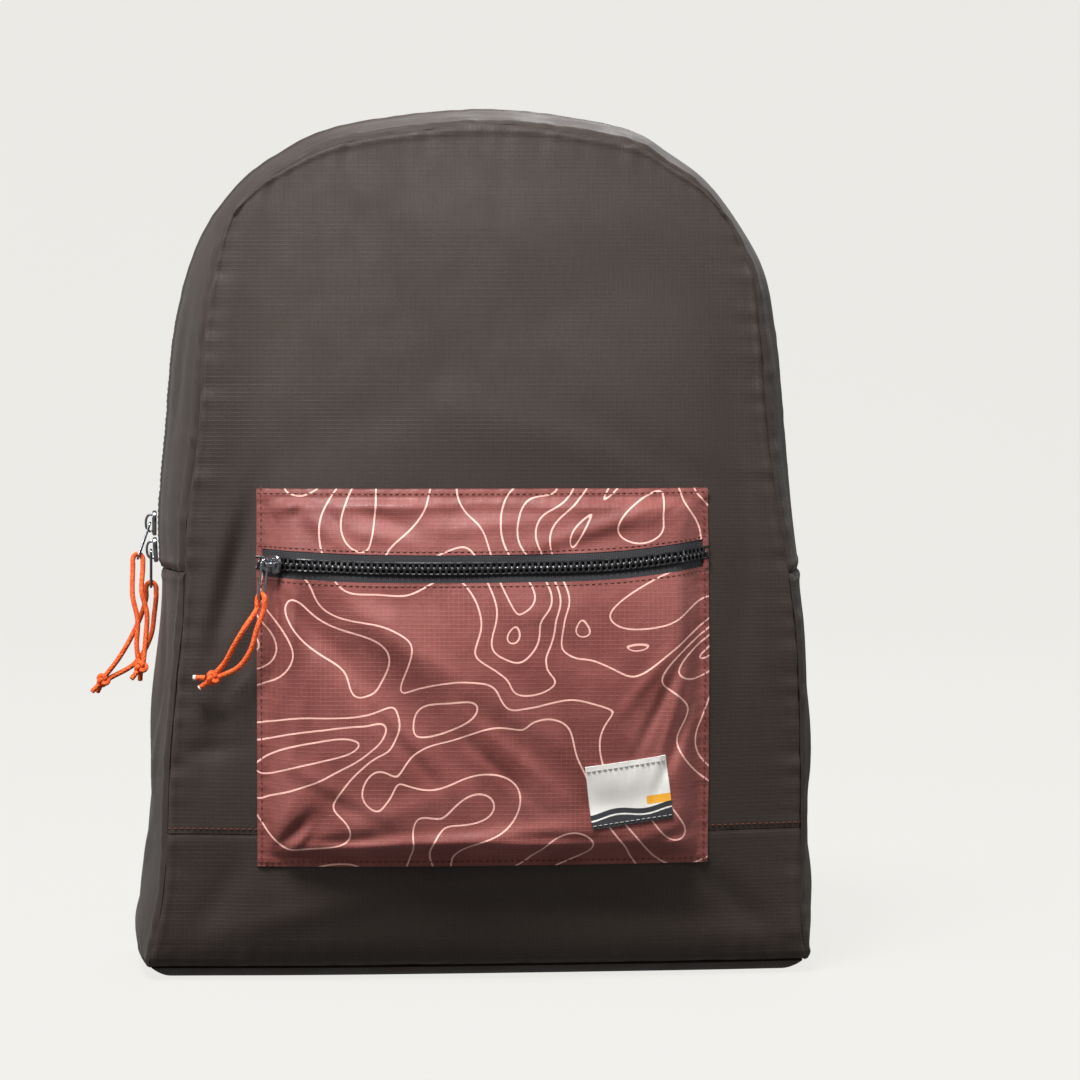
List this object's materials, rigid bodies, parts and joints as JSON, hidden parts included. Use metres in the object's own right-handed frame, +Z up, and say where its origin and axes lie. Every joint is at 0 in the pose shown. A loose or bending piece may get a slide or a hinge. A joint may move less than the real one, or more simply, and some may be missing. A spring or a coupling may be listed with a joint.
{
  "type": "packable backpack",
  "caption": "Thin ripstop daypack that folds away, filled and standing: arched main zip, patterned front pocket with its own zip, cord pulls, two padded shoulder straps and a carrying handle",
  "frame": {"origin": "centre of the flat underside of the base, on the floor", "axes": "+X to the wearer's right as seen from the front, +Y to the straps at the back, +Z up; the pocket faces -Y"},
  "size_m": [0.3568, 0.217, 0.4214],
  "materials": {
    "body_cloth": "thin dark olive-brown ripstop nylon, faint grid, soft sheen",
    "pocket_cloth": "thin dusty-red ripstop nylon with a fine print of pale contour lines",
    "zip_tape": "charcoal woven polyester tape",
    "zip_teeth": "black nylon coil teeth, half gloss",
    "pull_metal": "plated zinc sliders and bent steel wire, bright",
    "cord": "bright orange braided elastic cord",
    "label": null,
    "strap_cloth": "dark cloth over thin foam",
    "webbing": "black ribbed polyester webbing",
    "buckle": "black moulded acetal"
  },
  "bodies": {
    "root": {"back_panel": "body_cloth", "base_panel": "body_cloth", "front_panel": "body_cloth", "grab_handle": "webbing", "gusset_back_strip": "body_cloth", "gusset_front_strip": "body_cloth", "lower_front_band": "body_cloth", "main_zip_chain": "zip_teeth", "main_zip_tape": "zip_tape", "pocket_front_panel": "pocket_cloth", "pocket_label": "label", "pocket_pull_cord_a": "cord", "pocket_pull_cord_b": "cord", "pocket_pull_hitch": "cord", "pocket_pull_knot": "cord", "pocket_pull_slider": "pull_metal", "pocket_pull_wire": "pull_metal", "pocket_top_strip": "pocket_cloth", "pocket_zip_chain": "zip_teeth", "pocket_zip_tape": "zip_tape", "shoulder_strap_left": "strap_cloth", "shoulder_strap_right": "strap_cloth", "side_panel_left": "body_cloth", "side_panel_right": "body_cloth", "side_pull_lower_cord_a": "cord", "side_pull_lower_cord_b": "cord", "side_pull_lower_hitch": "cord", "side_pull_lower_knot": "cord", "side_pull_lower_slider": "pull_metal", "side_pull_lower_wire": "pull_metal", "side_pull_upper_cord_a": "cord", "side_pull_upper_cord_b": "cord", "side_pull_upper_hitch": "cord", "side_pull_upper_knot": "cord", "side_pull_upper_slider": "pull_metal", "side_pull_upper_wire": "pull_metal", "strap_buckle_left": "buckle", "strap_buckle_right": "buckle", "strap_webbing_left": "webbing", "strap_webbing_right": "webbing"}
  },
  "joints": []
}
